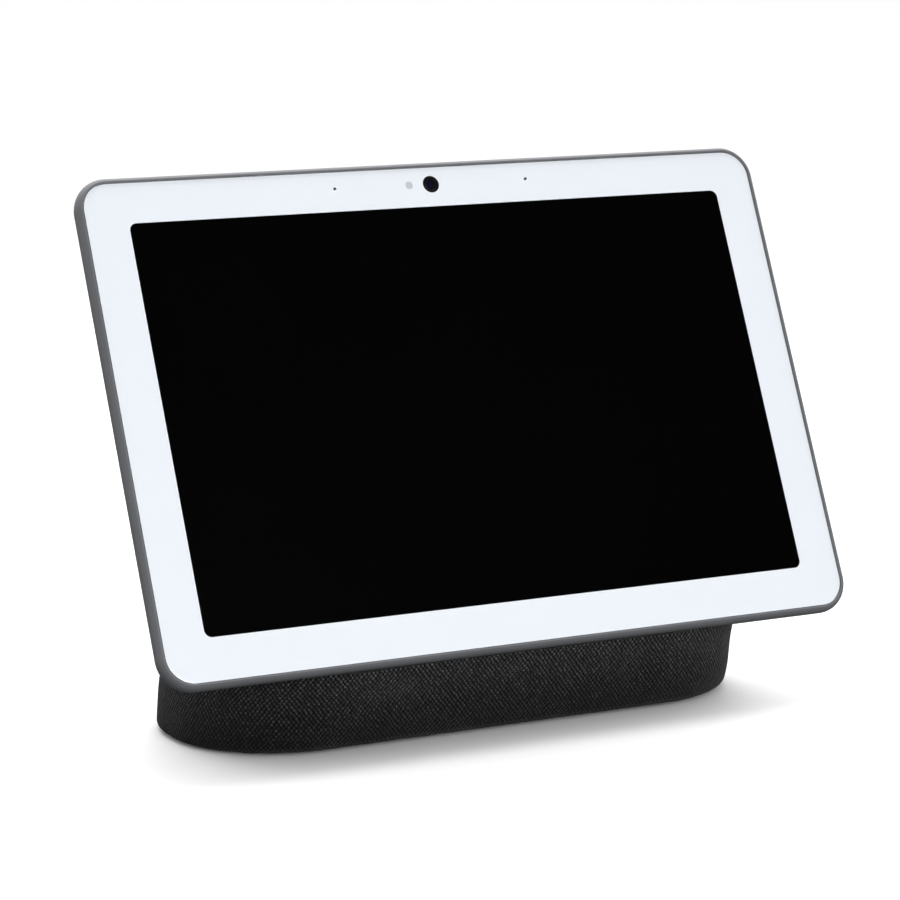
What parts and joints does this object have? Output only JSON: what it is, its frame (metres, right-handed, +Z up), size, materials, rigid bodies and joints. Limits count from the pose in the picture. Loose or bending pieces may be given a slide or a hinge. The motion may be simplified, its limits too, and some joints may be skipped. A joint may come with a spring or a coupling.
{
  "type": "smart display",
  "caption": "Touchscreen smart display leaning back on a fabric-covered speaker base, with a camera, a volume rocker and a mute slider.",
  "frame": {"origin": "middle of the bounding box at the bottom, on the surface the foot rests on", "axes": "+X to the viewer's right along the screen, +Y away from the viewer, +Z up"},
  "size_m": [0.2498, 0.1014, 0.1827],
  "materials": {
    "cover_glass": "polished cover glass",
    "white_print": "white print seen through glass",
    "black_tape": "black foam tape",
    "inner_plastic": "black moulded plastic",
    "lcd_glass": "dark liquid crystal panel, switched off",
    "clear_plastic": "clear acrylic light guide",
    "tray_metal": "pressed sheet",
    "spreader_metal": "pressed sheet",
    "camera_black": "black moulding",
    "lens_glass": "coated lens",
    "circuit_board": "solder mask",
    "can_metal": "tinned steel",
    "seal_rubber": "soft black rubber",
    "diffuser": "milky diffuser",
    "housing_plastic": "fine-textured grey plastic",
    "chip_plastic": "moulded black packages",
    "screw_steel": "blackened steel",
    "copper_foil": "copper on film",
    "flag_film": "orange film",
    "bracket_steel": "zinc-plated sheet",
    "basket_steel": "black powder coat",
    "magnet_steel": "plated steel",
    "ferrite": "ground ferrite",
    "cone_paper": "pressed paper",
    "spider_cloth": "resin-soaked cloth",
    "dome_cloth": "coated silk",
    "charcoal_knit": "charcoal stretch knit",
    "floor_plastic": "grey moulding",
    "foot_rubber": "grey silicone rubber",
    "port_plastic": "grey moulding",
    "port_black": "black moulding",
    "lead_vinyl": "black insulated wire"
  },
  "bodies": {
    "base": {"antennas": "copper_foil", "backlight_tray": "tray_metal", "base_floor": "floor_plastic", "base_screws": "screw_steel", "base_shell": "inner_plastic", "bezel_print": "white_print", "board_components": "chip_plastic", "board_screws": "screw_steel", "board_shields": "can_metal", "bracket_screws": "screw_steel", "button_boards": "circuit_board", "camera_barrel": "camera_black", "camera_lens": "lens_glass", "camera_ring": "camera_black", "cover_glass": "cover_glass", "dc_socket": "port_black", "display_bracket": "bracket_steel", "display_housing": "housing_plastic", "fabric_sleeve": "charcoal_knit", "heat_spreader": "spreader_metal", "lcd_panel": "lcd_glass", "light_guide": "clear_plastic", "light_pipe": "diffuser", "main_board": "circuit_board", "mic_seals": "seal_rubber", "microphones": "can_metal", "mid_frame": "inner_plastic", "mute_switch": "chip_plastic", "panel_tape": "black_tape", "port_plate": "port_plastic", "power_board": "circuit_board", "power_parts": "chip_plastic", "power_screws": "screw_steel", "rocker_pin": "screw_steel", "rubber_foot": "foot_rubber", "sensor_board": "circuit_board", "signal_flex": "copper_foil", "speaker_leads": "lead_vinyl", "status_led": "diffuser", "thermal_pads": "seal_rubber", "tweeter_frames": "inner_plastic", "tweeter_motors": "magnet_steel", "usb_socket": "can_metal", "volume_switches": "chip_plastic", "woofer_basket": "basket_steel", "woofer_gasket": "seal_rubber", "woofer_magnet": "ferrite", "woofer_screws": "screw_steel", "woofer_spider": "spider_cloth", "woofer_surround": "seal_rubber", "woofer_top_plate": "magnet_steel", "woofer_yoke": "magnet_steel"},
    "volume_rocker": {"volume_rocker": "housing_plastic"},
    "mute_slider": {"mute_slider": "housing_plastic", "mute_flag": "flag_film"},
    "woofer": {"woofer_coil": "copper_foil", "woofer_cone": "cone_paper", "woofer_dust_cap": "cone_paper"},
    "right_tweeter": {"right_tweeter_dome": "dome_cloth"},
    "left_tweeter": {"left_tweeter_dome": "dome_cloth"}
  },
  "joints": [
    {"name": "volume_rock", "type": "hinge", "parent": "base", "child": "volume_rocker", "pos_m": [0.098, 0.00397, 0.13369], "axis": [1, 0, 0], "range_deg": [-3, 3], "stiffness_Nm_per_rad": 0.27},
    {"name": "mute_slide", "type": "slide", "parent": "base", "child": "mute_slider", "axis": [1, 0, 0], "range_m": [0, 0.0036]},
    {"name": "woofer_travel", "type": "slide", "parent": "base", "child": "woofer", "axis": [0, 0.9298, 0.3681], "range_m": [-0.0025, 0.0025], "stiffness_N_per_m": 900, "deforming": ["woofer_surround", "woofer_spider"]},
    {"name": "right_tweeter_travel", "type": "slide", "parent": "base", "child": "right_tweeter", "axis": [0, -0.8829, -0.4695], "range_m": [-0.0003, 0.0003], "stiffness_N_per_m": 400},
    {"name": "left_tweeter_travel", "type": "slide", "parent": "base", "child": "left_tweeter", "axis": [0, -0.8829, -0.4695], "range_m": [-0.0003, 0.0003], "stiffness_N_per_m": 400}
  ]
}
